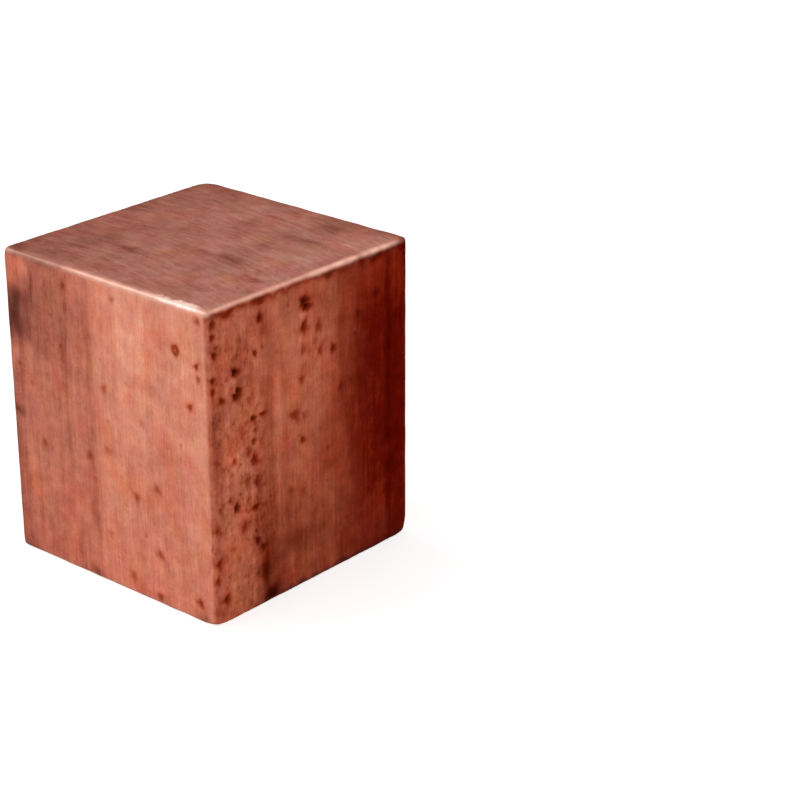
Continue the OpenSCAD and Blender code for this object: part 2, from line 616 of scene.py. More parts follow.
TOP_MARKS: list[Mark] = [
    # Broad shades, lighter and darker.
    tone(0.0, 13.0, 3.0, 40.0, -0.14),
    tone(4.6, 13.0, 1.6, 40.0, -0.09),
    tone(6.0, 12.5, 1.5, 1.6, -0.08),
    tone(6.5, 1.8, 3.0, 1.6, -0.07),
    tone(9.5, 16.0, 3.5, 7.0, 0.07),
    tone(12.0, 25.0, 30.0, 1.8, -0.1),
    tone(12.3, 7.5, 1.8, 3.0, 0.1),
    tone(BAR / 2, BAR / 2, EVEN, EVEN, 0.02),
    tone(13.0, 22.5, 2.2, 2.5, 0.06),
    tone(23.5, 1.5, 5.0, 3.0, 0.08),
    tone(24.0, 12.0, 5.0, 14.0, 0.1),
    tone(24.0, 20.5, 2.0, 2.5, 0.1),
    # Streaks and small spots, lighter and darker.
    tone(5.5, 6.2, 1.2, 0.5, -0.1),
    tone(6.4, 7.3, 1.8, 0.4, -0.16),
    tone(7.5, 20.2, 1.2, 1.0, 0.1),
    tone(8.8, 7.0, 1.9, 0.6, -0.42),
    tone(12.5, 18.8, 2.0, 0.6, -0.12),
    tone(14.4, 10.6, 1.9, 0.45, -0.15),
    tone(15.7, 11.8, 1.2, 0.7, 0.12),
    tone(17.3, 15.8, 0.5, 0.8, -0.16),
    tone(17.5, 11.0, 1.5, 0.6, -0.28),
    tone(18.5, 4.4, 1.2, 0.8, 0.1),
    tone(19.2, 22.7, 1.4, 0.9, -0.22),
    tone(19.8, 18.4, 2.4, 0.5, -0.2),
    tone(21.2, 8.2, 0.7, 0.35, -0.2),
    tone(21.8, 2.0, 1.8, 0.7, -0.16),
    tone(22.1, 23.1, 1.0, 0.8, -0.13),
    tone(22.4, 19.8, 1.6, 0.7, 0.1),
    tone(23.2, 8.3, 0.9, 0.4, -0.3),
    tone(24.4, 6.1, 0.8, 0.5, -0.3),
    tone(24.7, 14.4, 0.9, 1.2, -0.13),
    # Rosy places.
    flush(2.5, 9.5, 2.0, 2.5, 0.5),
    flush(22.2, 22.5, 1.2, 0.9, 0.7),
    flush(24.0, 8.0, 1.6, 1.4, 0.6),
    # Dark tarnish.
    stain(0.1, 13.0, 0.4, EVEN, 0.25),
    stain(0.8, 0.8, 1.1, 1.0, 0.4),
    stain(13.0, 25.3, EVEN, 0.4, 0.25),
    # Pitted areas.
    pitted(22.5, 8.5, 4.0, 6.5, 0.4),
    # Flaked bright metal.
    flake(15.5, 0.2, 3.0, 0.35, 0.3),
    flake(20.8, 0.35, 3.0, 0.56, 0.58),
    flake(22.9, 0.42, 1.6, 0.62, 0.7, 2.4),
]

BACK_MARKS: list[Mark] = [
    # Rosy places.
    flush(13.0, 20.0, 2.0, 6.0, 0.4),
    # Red oxide.
    oxide(4.0, 15.0, 5.0, EVEN, 0.55, 4.0),
    oxide(17.5, 8.0, 4.0, 12.0, 0.35),
    # Dark tarnish.
    stain(9.0, 1.0, 1.4, 0.8, 0.6),
    stain(22.0, 26.5, 1.8, 1.2, 0.6),
    # Pitted areas.
    pitted(14.0, 6.0, 4.0, 6.0, 0.7),
    # Streaks, at random.
    *streaks(31, 16, 0.16),
    # Small pits, at random.
    *scatter(32, 22, (1.0, 24.5), (1.0, 28.0), (0.2, 0.42), (0.3, 0.7)),
    *scatter(33, 34, (6.0, 22.0), (-3.0, 15.0), (0.14, 0.26), (0.2, 0.6), 3),
]

LEFT_MARKS: list[Mark] = [
    # Rosy places.
    flush(20.0, 1.2, 5.0, 1.6, 0.5),
    # Red oxide.
    oxide(2.0, 12.0, 4.0, 14.0, 0.5),
    oxide(12.0, 14.0, EVEN, EVEN, 0.25),
    # Dark tarnish.
    stain(11.5, 27.8, 2.2, 1.0, 0.5),
    stain(16.0, 5.0, 0.5, 4.0, 0.5),
    stain(24.0, 23.8, 1.2, 1.2, 0.3),
    stain(25.2, 23.1, 1.1, 2.1, 0.7, 3.0),
    # Pitted areas.
    pitted(6.0, 20.0, 3.5, 8.0, 0.7),
    # Streaks, at random.
    *streaks(34, 16, 0.16),
    # Small pits, at random.
    *scatter(35, 20, (1.0, 24.5), (1.0, 28.0), (0.2, 0.42), (0.3, 0.7)),
    *scatter(36, 28, (-1.0, 13.0), (9.0, 31.0), (0.14, 0.26), (0.2, 0.6), 3),
]

FOOT_MARKS: list[Mark] = [
    # Broad shades, lighter and darker.
    tone(14.0, 13.0, 9.0, 9.0, 0.06),
    # Streaks and small spots, lighter and darker.
    tone(7.0, 17.0, 3.0, 0.6, -0.2),
    tone(16.5, 9.0, 3.5, 0.7, -0.2),
    # Dark tarnish.
    stain(3.5, 4.0, 1.6, 1.2, 0.4),
    stain(20.5, 21.0, 2.0, 1.5, 0.5),
    # Small pits, at random.
    *scatter(37, 12, (2.0, 23.5), (2.0, 23.5), (0.2, 0.36), (0.3, 0.6)),
]

# Rubbed edges: bright worn metal and a painted highlight, strongest along the edge between the right face
# and the top.
EDGE_WEAR_AND_HIGHLIGHT: list[EdgeWearAndHighlight] = [
    EdgeWearAndHighlight(Side.FRONT, Side.TOP, 7.8, 27.5, 0.34, 0.42, 0.66, 1.4),
    EdgeWearAndHighlight(Side.FRONT, Side.TOP, 24.4, 27.5, 0.36, 0.36, 0.85, 1.3),
    EdgeWearAndHighlight(Side.FRONT, Side.TOP, 2.2, 8.0, 0.34, 0.34, 0.32, 1.4),
    EdgeWearAndHighlight(Side.FRONT, Side.TOP, -1.0, 2.4, 0.34, 0.34, 0.5),
    EdgeWearAndHighlight(Side.RIGHT, Side.TOP, -2.5, 13.0, 0.22, 0.24, 0.74, 1.5),
    EdgeWearAndHighlight(Side.RIGHT, Side.TOP, 12.0, 19.5, 0.32, 0.33, 0.98, 1.2),
    EdgeWearAndHighlight(Side.RIGHT, Side.TOP, 19.0, 24.0, 0.33, 0.3, 0.98, 1.2),
    EdgeWearAndHighlight(Side.BACK, Side.TOP, 2.0, 23.0, 0.27, 0.27, 0.2),
    EdgeWearAndHighlight(Side.LEFT, Side.TOP, 3.0, 22.0, 0.27, 0.27, 0.2),
    EdgeWearAndHighlight(Side.RIGHT, Side.BACK, 4.0, 24.0, 0.3, 0.3, 0.08),
    EdgeWearAndHighlight(Side.BACK, Side.LEFT, 6.0, 30.0, 0.3, 0.3, 0.15),
    EdgeWearAndHighlight(Side.FRONT, Side.FOOT, 3.0, 22.0, 0.24, 0.24, 0.2),
    EdgeWearAndHighlight(Side.BACK, Side.FOOT, 3.0, 22.0, 0.24, 0.24, 0.25),
    EdgeWearAndHighlight(Side.LEFT, Side.FOOT, 3.0, 22.0, 0.24, 0.24, 0.25),
]

KNOCKS: list[Knock] = [
    Knock((Side.FRONT, Side.RIGHT, Side.FOOT), 0.26, 2.0),
    Knock((Side.LEFT, Side.BACK, Side.TOP), 0.26, 2.0),
    Knock((Side.RIGHT, Side.BACK, Side.FOOT), 0.3, 2.0),
    Knock((Side.LEFT, Side.FRONT, Side.FOOT), 0.06, 1.2),
    Knock((Side.RIGHT, Side.BACK, Side.TOP), 0.04, 1.0),
    Knock((Side.LEFT, Side.FRONT, Side.TOP), 0.12, 1.2),
    Knock((Side.LEFT, Side.BACK, Side.FOOT), 0.2, 1.8),
]

MARKS: dict[Side, list[Mark]] = {
    Side.FRONT: FRONT_MARKS,
    Side.RIGHT: RIGHT_MARKS,
    Side.BACK: BACK_MARKS,
    Side.LEFT: LEFT_MARKS,
    Side.TOP: TOP_MARKS,
    Side.FOOT: FOOT_MARKS,
}

Operand = Union["Value", float]


class Value:
    """A shader value that takes part in Python arithmetic by adding Math nodes."""

    def __init__(self, nodes: "Nodes", socket: Optional[bpy.types.NodeSocket]) -> None:
        """Wraps an output socket of the given tree, or none for a node without outputs."""
        self.nodes = nodes
        self.socket = socket

    def twin(self, output: Union[int, str]) -> "Value":
        """Another output of the same node."""
        return Value(self.nodes, self.socket.node.outputs[output])

    def math(self, operation: str, first: Operand, second: Operand) -> "Value":
        """One Math node on two values or numbers."""
        return self.nodes.node("ShaderNodeMath", {"operation": operation}, {0: first, 1: second})

    def __add__(self, other: Operand) -> "Value":
        """Sum."""
        return self.math("ADD", self, other)

    def __radd__(self, other: Operand) -> "Value":
        """Sum with a number on the left."""
        return self.math("ADD", other, self)

    def __sub__(self, other: Operand) -> "Value":
        """Difference."""
        return self.math("SUBTRACT", self, other)

    def __rsub__(self, other: Operand) -> "Value":
        """Difference from a number on the left."""
        return self.math("SUBTRACT", other, self)

    def __mul__(self, other: Operand) -> "Value":
        """Product."""
        return self.math("MULTIPLY", self, other)

    def __rmul__(self, other: Operand) -> "Value":
        """Product with a number on the left."""
        return self.math("MULTIPLY", other, self)

    def at_least(self, other: Operand) -> "Value":
        """The larger of two values."""
        return self.math("MAXIMUM", self, other)


class Nodes:
    """Builds the nodes of one material or world."""

    def __init__(self, tree: bpy.types.NodeTree) -> None:
        """Starts from an empty tree."""
        self.tree = tree
        self.tree.nodes.clear()

    def node(self, kind: str, settings: dict, sockets: dict, output: Union[int, str] = 0) -> Value:
        """Adds a node.

        Args:
            kind: Type of the node.
            settings: Its own properties, or the colours of a ramp. They are set first.
            sockets: Values or links of its inputs, by name or number.
            output: The output that is wanted.
        Returns:
            That output as a value.
        """
        node = self.tree.nodes.new(kind)
        for name, setting in settings.items():
            if name == "colours":
                self.spread(node.color_ramp, setting)
            else:
                setattr(node, name, setting)
        for name, content in sockets.items():
            if isinstance(content, Value):
                self.tree.links.new(content.socket, node.inputs[name])
            else:
                node.inputs[name].default_value = content
        return Value(self, node.outputs[output] if node.outputs else None)

    @staticmethod
    def spread(ramp: bpy.types.ColorRamp, colours: tuple[Colour, ...]) -> None:
        """Spreads colours evenly over a ramp.

        Args:
            ramp: The ramp of a Color Ramp node, new, with two stops.
            colours: The colours, in order.
        """
        for index, colour in enumerate(colours):
            position = index / (len(colours) - 1)
            stop = ramp.elements[index] if index < 2 else ramp.elements.new(position)
            stop.position = position
            stop.color = colour

    def attribute(self, name: str) -> Value:
        """A float attribute of the mesh."""
        return self.node("ShaderNodeAttribute", {"attribute_name": name}, {}, "Fac")

    def point(self, across: Operand, along: Operand, depth: Operand) -> Value:
        """A place from its three coordinates."""
        return self.node("ShaderNodeCombineXYZ", {}, {0: across, 1: along, 2: depth})

    def noise(self, place: Value, scale: float = 1.0, layers: float = 2.0, rough: float = 0.5) -> Value:
        """Noise of about -0.5 to 0.5.

        Args:
            place: Where it is read.
            scale: How fine it is.
            layers: How many finer layers it has.
            rough: How strong the finer layers are.
        Returns:
            The noise.
        """
        sockets = {"Vector": place, "Scale": scale, "Detail": layers, "Roughness": rough}
        return self.node("ShaderNodeTexNoise", {}, sockets, "Fac") - 0.5

    def ramp(self, position: Value, colours: tuple[Colour, ...]) -> Value:
        """A colour picked by a value from colours that are spread evenly from 0 to 1."""
        return self.node("ShaderNodeValToRGB", {"colours": colours}, {0: position}, "Color")

    def blend(self, amount: Operand, below: Union[Value, Colour], above: Union[Value, Colour],
              mode: str = "MIX") -> Value:
        """Mixes two colours.

        Args:
            amount: How much of the second colour is taken.
            below: First colour.
            above: Second colour.
            mode: Way of mixing, by Blender's name for it.
        Returns:
            The mixed colour.
        """
        settings = {"data_type": "RGBA", "clamp_factor": True, "blend_type": mode}
        return self.node("ShaderNodeMix", settings, {0: amount, 6: below, 7: above}, 2)


class Patterns:
    """The masks of the block and the noises that its finish is mixed from, as shader values.

    The noises of the grain are longer along it than across it. Each one is read at a depth of its own, so
    that no two are alike.
    """

    def __init__(self, nodes: Nodes) -> None:
        """Adds the nodes of all masks and noises.

        Args:
            nodes: Builder of the material's nodes.
        """
        self.mask = {each: nodes.attribute(each.value) for each in Mask}
        self.sawn = self.mask[Mask.SAWN]
        grain = nodes.node("ShaderNodeUVMap", {"uv_map": GRAIN_MAP}, {})
        across = nodes.node("ShaderNodeSeparateXYZ", {}, {0: grain})
        along = across.twin(1)
        # The lines of the saw are shorter than the drawn ones.
        run = along * (1.0 + 1.5 * self.sawn)
        self.broad = nodes.noise(nodes.point(across * 0.9, run * 0.06, 1.0))
        self.narrow = nodes.noise(nodes.point(across * 3.0, run * 0.17, 2.0))
        self.hair = nodes.noise(nodes.point(across * 8.0, run * 0.5, 3.0))
        self.specks = nodes.noise(nodes.point(across * 1.5, along, 4.0), rough=0.6)
        self.patchy = nodes.noise(nodes.point(across * 0.3, along * 0.15, 5.0))
        self.hue = nodes.noise(nodes.point(across * 0.6, along * 0.25, 6.0), layers=3.0)
        self.kerf = nodes.noise(nodes.point(across * 1.7, along * 0.28, 7.0), layers=3.0, rough=0.6)
        self.blush = nodes.noise(nodes.point(across * 0.36, along * 0.22, 8.0), layers=4.0, rough=0.65)
        # These three run alike in all directions.
        place = nodes.node("ShaderNodeTexCoord", {}, {}, "Object")
        self.cloud = nodes.noise(place, 300.0, layers=3.0)
        self.mottle = nodes.noise(place, 700.0, layers=3.0)
        self.speckle = nodes.noise(place, 4200.0)


@dataclass(frozen=True)
class CopperFinish:
    """Bare copper that has tarnished, with some shade and highlights painted in: colours from dark to light,
    tints, roughness and height of bumps.
    """

    drawn: tuple[Colour, ...] = (
        srgb(112, 53, 45), srgb(158, 90, 74), srgb(192, 118, 97), srgb(217, 146, 120), srgb(238, 181, 155))
    # The ruddy and deep colours are red oxide, and also the painted shade that darkens and reddens the right
    # face.
    ruddy: tuple[Colour, ...] = (
        srgb(84, 28, 16), srgb(126, 54, 36), srgb(158, 80, 56), srgb(186, 106, 80), srgb(212, 138, 110))
    deep: tuple[Colour, ...] = (
        srgb(42, 1, 0), srgb(68, 4, 2), srgb(93, 12, 5), srgb(124, 36, 20), srgb(150, 64, 44))
    sawn: tuple[Colour, ...] = (
        srgb(100, 56, 46), srgb(135, 83, 71), srgb(165, 111, 98), srgb(189, 136, 123), srgb(217, 170, 157))
    warm_tint: Colour = (1.0, 0.98, 0.72, 1.0)
    cool_tint: Colour = (1.0, 0.86, 1.0, 1.0)
    rosy_tint: Colour = (1.0, 0.76, 0.7, 1.0)
    tan_tint: Colour = (0.9, 1.0, 0.99, 1.0)
    pit_and_shade_tint: Colour = (0.6, 0.27, 0.17, 1.0)
    grazing_tint: Colour = (0.78, 0.52, 0.46, 1.0)
    # Colour of dark tarnish, also used for a painted shadow.
    stain: Colour = srgb(66, 28, 26)
    pit: Colour = srgb(52, 2, 0)
    # Colour of rubbed edges: worn metal with a painted highlight.
    wear: Colour = srgb(252, 200, 180)
    flake: Colour = srgb(248, 220, 208)
    roughness: float = 0.42
    bump: float = 0.02

    def lightness(self, coat: Patterns) -> Value:
        """How light the copper is.

        Args:
            coat: Masks and noises.
        Returns:
            The lightness, from 0 to 1.
        """
        sawn = coat.sawn
        lines = (0.3 * coat.narrow + 0.2 * coat.hair) * (1.0 + 1.6 * coat.patchy) + 0.5 * sawn * coat.kerf
        light = 0.5 + coat.mask[Mask.TONE] + (0.36 - 0.2 * sawn) * coat.broad + lines
        light = light + (0.2 + 0.25 * sawn) * coat.cloud + (0.4 - 0.15 * sawn) * coat.mottle
        light = light + 0.22 * coat.speckle
        return light - 1.1 * coat.mask[Mask.PITTED] * coat.specks + 0.1 * coat.mask[Mask.FLUSH]

    def colour(self, nodes: Nodes, coat: Patterns) -> Value:
        """The colour of the copper, with all its tints, stains, pits and rubbed places, and the shade,
        shadow and highlights painted into it.

        Args:
            nodes: Builder of the material's nodes.
            coat: Masks and noises.
        Returns:
            The colour.
        """
        mask = coat.mask
        light = self.lightness(coat)
        # Red oxide, and the painted shade of the right face, take the ruddy and then the deep colours.
        ruddy = 2.0 * mask[Mask.OXIDE]
        rosy = mask[Mask.FLUSH] + (4.0 - 0.4 * coat.sawn + 2.0 * mask[Mask.PITTED]) * coat.blush
        # Dark tarnish, and the painted shadow along the foot of the right face.
        blot_and_shadow = mask[Mask.STAIN] * (1.0 + 1.2 * coat.mottle)
        # Pits, etched places and pitted specks, and the painted shade line below the right face's top edge.
        sunk_and_shade = 2.0 * mask[Mask.PIT].at_least(4.0 * mask[Mask.PITTED] * (coat.specks - 0.1))
        bare = 2.2 * (1.3 * mask[Mask.FLAKE] - 0.9 * (coat.speckle + 0.5))
        layers = (
            (coat.sawn, nodes.ramp(light, self.sawn), "MIX"),
            (ruddy, nodes.ramp(light, self.ruddy), "MIX"),
            (ruddy - 1.0, nodes.ramp(light, self.deep), "MIX"),
            (3.0 * (coat.hue - 0.02), self.warm_tint, "MULTIPLY"),
            (3.0 * (-0.02 - coat.hue), self.cool_tint, "MULTIPLY"),
            (rosy, self.rosy_tint, "MULTIPLY"),
            (-1.0 * rosy, self.tan_tint, "MULTIPLY"),
            # Dark tarnish and the painted shadow.
            (blot_and_shadow, self.stain, "MIX"),
            # Pits and etched places, and the painted shade line.
            (sunk_and_shade, self.pit_and_shade_tint, "MULTIPLY"),
            (sunk_and_shade - 1.0, self.pit, "MIX"),
            # Rubbed edges with their painted highlight.
            (mask[Mask.WEAR], self.wear, "MIX"),
            (bare, self.flake, "MIX"),
        )
        colour = nodes.ramp(light, self.drawn)
        for amount, above, mode in layers:
            colour = nodes.blend(amount, colour, above, mode)
        return colour

    def dullness(self, coat: Patterns) -> Value:
        """How rough the copper is.

        Args:
            coat: Masks and noises.
        Returns:
            The roughness.
        """
        dull = coat.mask[Mask.PIT].at_least(coat.mask[Mask.STAIN])
        rough = self.roughness + 0.2 * coat.narrow + 0.2 * dull
        return rough + 0.08 * coat.sawn - 0.05 * coat.mask[Mask.WEAR]

    def height(self, coat: Patterns) -> Value:
        """How high the copper stands, in bumps. The lines of the saw are the highest."""
        lines = 0.3 * coat.hair + (0.5 + coat.narrow) * (0.3 + 0.7 * coat.sawn)
        return lines + 0.15 * coat.speckle

    def material(self) -> bpy.types.Material:
        """The finish as a material that reads the block's grain map and masks.

        Returns:
            The material.
        """
        material = bpy.data.materials.new("tarnished_copper")
        material.use_nodes = True
        nodes = Nodes(material.node_tree)
        coat = Patterns(nodes)
        bumps = {"Strength": 1.0, "Distance": self.bump * MM, "Height": self.height(coat)}
        surface = nodes.node("ShaderNodeBsdfPrincipled", {}, {
            "Base Color": self.colour(nodes, coat),
            "Roughness": self.dullness(coat),
            "Metallic": 1.0,
            "Specular Tint": self.grazing_tint,
            "Normal": nodes.node("ShaderNodeBump", {}, bumps),
        })
        nodes.node("ShaderNodeOutputMaterial", {}, {"Surface": surface})
        return material


def put(name: str, data: bpy.types.ID) -> bpy.types.Object:
    """Adds an object to the scene.

    Args:
        name: Name of the object.
        data: Its mesh, light or camera.
    Returns:
        The object.
    """
    made = bpy.data.objects.new(name, data)
    bpy.context.scene.collection.objects.link(made)
    return made


def to_mesh(name: str, bm: bmesh.types.BMesh) -> bpy.types.Mesh:
    """Turns a bmesh into a mesh and frees it.

    Args:
        name: Name of the mesh.
        bm: The bmesh.
    Returns:
        The mesh.
    """
    mesh = bpy.data.meshes.new(name)
    bm.to_mesh(mesh)
    bm.free()
    return mesh


def read(items: bpy.types.bpy_prop_collection, name: str, width: int = 1, kind: type = float) -> Array:
    """Reads one property of all points, corners or faces of a mesh.

    Args:
        items: The points, corners or faces.
        name: Name of the property.
        width: How many numbers it has.
        kind: Type of the numbers.
    Returns:
        One row for each item.
    """
    values = np.zeros(len(items) * width, kind)
    items.foreach_get(name, values)
    return values.reshape(-1, width)


@dataclass
class CopperBlock:
    """The block, cut from drawn square bar. Its box comes from the CAD model."""

    low: Array
    high: Array
    finish: CopperFinish
    marks: dict[Side, list[Mark]]
    edge_wear_and_highlight: list[EdgeWearAndHighlight]
    knocks: list[Knock]
    name: str = "copper_block"
    edge_round: float = 0.4
    end_bevel: float = 0.25
    # Squares of the grid, how far around pits and edges it is made finer, and the shortest edge that is cut.
    grid: float = 0.32
    pit_margins: tuple[float, ...] = (0.3, 0.06)
    rim: float = 0.7
    shortest: float = 0.08
    # How far below a face its marks reach, and how far apart the faces lie in the grain map.
    skin: float = 0.45
    map_gap: float = 100.0
    # Waves that the saw left on both ends, around a centre that is given from the middle of the end.
    saw_ridge: float = 0.012
    saw_pitch: float = 0.9
    saw_centre: tuple[float, float] = (-6.0, -70.0)
    saw_drift: Wander = Wander(1.5, 4.0, 5)
    # Uneven filing of the edges.
    filing: float = 0.04
    filing_reach: float = 0.9
    filing_waves: Wander = Wander(0.4, 5.0, 200)
    filing_ripples: Wander = Wander(0.1, 1.6, 700)
    # How the outlines of patches bend, and how the rubbed edges with their painted highlight change in width
    # and strength.
    bend_across: Wander = Wander(0.12, 1.5, 10)
    bend_up: Wander = Wander(0.2, 1.8, 30)
    rub_and_highlight_waves: Wander = Wander(0.08, 3.5, 50)
    rub_and_highlight_ripples: Wander = Wander(0.03, 1.3, 80)
    rub_and_highlight_strength: Wander = Wander(0.12, 2.4, 110)
    rub_and_highlight_fade: float = 0.5
    points: Array = field(default_factory=lambda: np.zeros((0, 3)))

    @property
    def size(self) -> Array:
        """Width, depth and height."""
        return self.high - self.low

    def corner_of(self, side: Side) -> Array:
        """The lower left corner of a face, where its plan starts."""
        pick = side.across + side.up - side.outward
        return np.where(pick > 0, self.low, self.high)

    def plan(self, side: Side, points: Array) -> tuple[Array, Array, Array]:
        """Where points lie on a face.

        Args:
            side: The face.
            points: One row of coordinates for each point.
        Returns:
            Distance from the face's left edge, from its lower edge, and below its surface.
        """
        offset = points - self.corner_of(side)
        return offset @ side.across, offset @ side.up, -(offset @ side.outward)

    def build(self) -> bpy.types.Object:
        """Models the block and dresses it.

        Returns:
            The block's object.
        """
        mesh = self.model()
        self.points = read(mesh.vertices, "co", 3)
        self.map_grain(mesh)
        self.paint(mesh)
        moved = (self.points + self.relief()) * MM
        mesh.vertices.foreach_set("co", moved.ravel())
        mesh.shade_smooth()
        mesh.update()
        mesh.materials.append(self.finish.material())
        return put(self.name, mesh)

    def model(self) -> bpy.types.Mesh:
        """Models the plain bevelled block in millimetres, with a grid that is fine enough for its relief.

        Returns:
            The mesh.
        """
        bm = bmesh.new()
        bmesh.ops.create_cube(bm, size=1.0)
        bmesh.ops.scale(bm, vec=Vector(self.size), verts=bm.verts)
        bmesh.ops.translate(bm, vec=Vector((self.low + self.high) / 2), verts=bm.verts)
        self.round_edges(bm)
        self.cut_grid(bm)
        self.refine(bm)
        bmesh.ops.triangulate(bm, faces=[face for face in bm.faces if len(face.verts) > 4])
        return to_mesh(self.name, bm)

    def round_edges(self, bm: bmesh.types.BMesh) -> None:
        """Rounds the four long edges and bevels the edges of both ends.

        Args:
            bm: The plain block.
        """
        upright = [edge for edge in bm.edges if abs(edge.verts[0].co.z - edge.verts[1].co.z) > 1]
        bmesh.ops.bevel(bm, geom=upright, offset=self.edge_round, segments=4, profile=0.5,
                        affect="EDGES", material=-1)
        ends = (self.low[2], self.high[2])
        rims = []
        for edge in bm.edges:
            heights = [vert.co.z for vert in edge.verts]
            if any(max(abs(height - end) for height in heights) < 1e-4 for end in ends):
                rims.append(edge)
        bmesh.ops.bevel(bm, geom=rims, offset=self.end_bevel, segments=3, profile=0.5,
                        affect="EDGES", material=-1)

    def cut_grid(self, bm: bmesh.types.BMesh) -> None:
        """Cuts the faces into a grid of small squares.

        Args:
            bm: The bevelled block.
        """
        for axis in range(3):
            cuts = round(self.size[axis] / self.grid)
            edges = []
            for edge in bm.edges:
                run = edge.verts[1].co - edge.verts[0].co
                if abs(run[axis]) > 0.9 * run.length and run.length > self.size[axis] / 2:
                    edges.append(edge)
            bmesh.ops.subdivide_edges(bm, edges=edges, cuts=cuts, use_grid_fill=True)

    def refine(self, bm: bmesh.types.BMesh) -> None:
        """Makes the grid finer along the edges of the block and around each pit.

        Args:
            bm: The block with its grid.
        """
        for level, margin in enumerate(self.pit_margins):
            edges = list(bm.edges)
            middles = np.array([(edge.verts[0].co + edge.verts[1].co) / 2 for edge in edges])
            chosen = np.zeros(len(edges), bool)
            for side, marks in self.marks.items():
                across, up, below = self.plan(side, middles)
                near = np.flatnonzero(below < self.skin)
                for pit in marks:
                    if isinstance(pit, Pit):
                        distance = np.hypot(across[near] - pit.across, (up[near] - pit.up) / pit.tall)
                        chosen[near[distance < pit.radius + margin]] = True
            if level == 0:
                chosen |= self.rim_distance(middles) < self.rim
            picked = [edge for edge, wanted in zip(edges, chosen)
                      if wanted and edge.calc_length() > self.shortest]
            bmesh.ops.subdivide_edges(bm, edges=picked, cuts=1, use_grid_fill=True)

    def rim_distance(self, points: Array) -> Array:
        """Distance of points on the surface from the nearest edge of the block."""
        below = np.sort(np.stack([self.plan(side, points)[2] for side in Side]), axis=0)
        return np.hypot(below[0], below[1])

    def face_share(self, below: Array) -> Array:
        """How far points belong to a face: 1 on it and a little below, 0 at the skin's depth below it."""
        return np.clip(1.6 * (1 - below / self.skin), 0, 1)

    def saw_arc(self, across: Array, up: Array) -> tuple[Array, Array]:
        """Where places on a sawn end lie on the arcs of the saw.

        Args:
            across: Distance of each place from the end's left edge.
            up: Distance of each place from the end's lower edge.
        Returns:
            The radius of the arc through each place, and the distance along it.
        """
        east = across - self.size[0] / 2 - self.saw_centre[0]
        north = up - self.size[1] / 2 - self.saw_centre[1]
        radius = np.hypot(east, north)
        return radius, np.arctan2(east, north) * radius

    def map_grain(self, mesh: bpy.types.Mesh) -> None:
        """Writes the grain map: millimetres across and along the drawn streaks, or the arcs of the saw.

        Args:
            mesh: The block's mesh.
        """
        corners = read(mesh.loops, "vertex_index", kind=int)[:, 0]
        counts = read(mesh.polygons, "loop_total", kind=int)[:, 0]
        facing = read(mesh.polygons, "normal", 3) @ np.stack([side.outward for side in Side]).T
        owner = np.repeat(np.argmax(facing, axis=1), counts)
        grain = np.zeros((len(corners), 2))
        for index, side in enumerate(Side):
            own = owner == index
            across, up, _ = self.plan(side, self.points[corners[own]])
            if side.sawn:
                across, up = self.saw_arc(across, up)
            grain[own] = np.stack([across + self.map_gap * index, up], axis=1)
        layer = mesh.uv_layers.new(name=GRAIN_MAP)
        layer.data.foreach_set("uv", grain.ravel())

    def paint(self, mesh: bpy.types.Mesh) -> None:
        """Writes each mask as an attribute of the mesh.

        Args:
            mesh: The block's mesh.
        """
        values = {mask: np.zeros(len(self.points)) for mask in Mask}
        for turn, side in enumerate(Side):
            self.paint_side(side, turn, values)
        # Rubbed edges, worn metal and a painted highlight.
        values[Mask.WEAR] = self.edge_rub_and_highlight()
        for mask, value in values.items():
            layer = mesh.attributes.new(mask.value, "FLOAT", "POINT")
            layer.data.foreach_set("value", value)

    def paint_side(self, side: Side, turn: int, values: dict[Mask, Array]) -> None:
        """Adds the marks of one face to the masks.

        Args:
            side: The face.
            turn: Number of the face, which picks how its patches bend.
            values: The masks, with one value for each point. They are changed in place.
        """
        across, up, below = self.plan(side, self.points)
        share = self.face_share(below)
        if side.sawn:
            values[Mask.SAWN] = np.maximum(values[Mask.SAWN], share)
        near = np.flatnonzero(share > 0)
        across, up, share = across[near], up[near], share[near]
        place = np.stack([across, up * 0.4], axis=1)
        bent = across + self.bend_across.at(place, turn), up + self.bend_up.at(place, turn)
        for mark in self.marks[side]:
            if isinstance(mark, Pit):
                shade = mark.shade(mark.reach(across, up)) * share
                values[Mask.PIT][near] = np.maximum(values[Mask.PIT][near], shade)
                # Each pit's lower left rim gets a painted highlight.
                values[Mask.TONE][near] += mark.rim_highlight(across, up)
            elif mark.mask is Mask.TONE:
                values[Mask.TONE][near] += mark.weight(*bent) * share
            else:
                kept = 1 - np.clip(mark.weight(*bent) * share, 0, 1)
                values[mark.mask][near] = 1 - (1 - values[mark.mask][near]) * kept

    def edge_rub_and_highlight(self) -> Array:
        """How bright points are on the worn edges, as rubbed metal and as a painted highlight, by their
        distance from them.

        Returns:
            One brightness for each point.
        """
        total = np.zeros(len(self.points))
        for turn, worn in enumerate(self.edge_wear_and_highlight):
            across, up, below_first = self.plan(worn.first, self.points)
            below_second = self.plan(worn.second, self.points)[2]
            along = across if worn.second.sawn else up
            place = along[:, None]
            run = np.clip((along - worn.start) / (worn.stop - worn.start), 0, 1)
            width = worn.width + (worn.end_width - worn.width) * run
            width *= 1 + self.rub_and_highlight_waves.at(place, turn) + self.rub_and_highlight_ripples.at(place, turn)
            distance = np.hypot(below_first / worn.spread, below_second) / width
            begun = 1 / (1 + np.exp((worn.start - along) / self.rub_and_highlight_fade))
            ended = 1 / (1 + np.exp((along - worn.stop) / self.rub_and_highlight_fade))
            strength = worn.strength * np.clip(0.92 + self.rub_and_highlight_strength.at(place, turn), 0, 1)
            total = np.maximum(total, strength * begun * ended * np.exp(-(distance ** 2.5)))
        return total

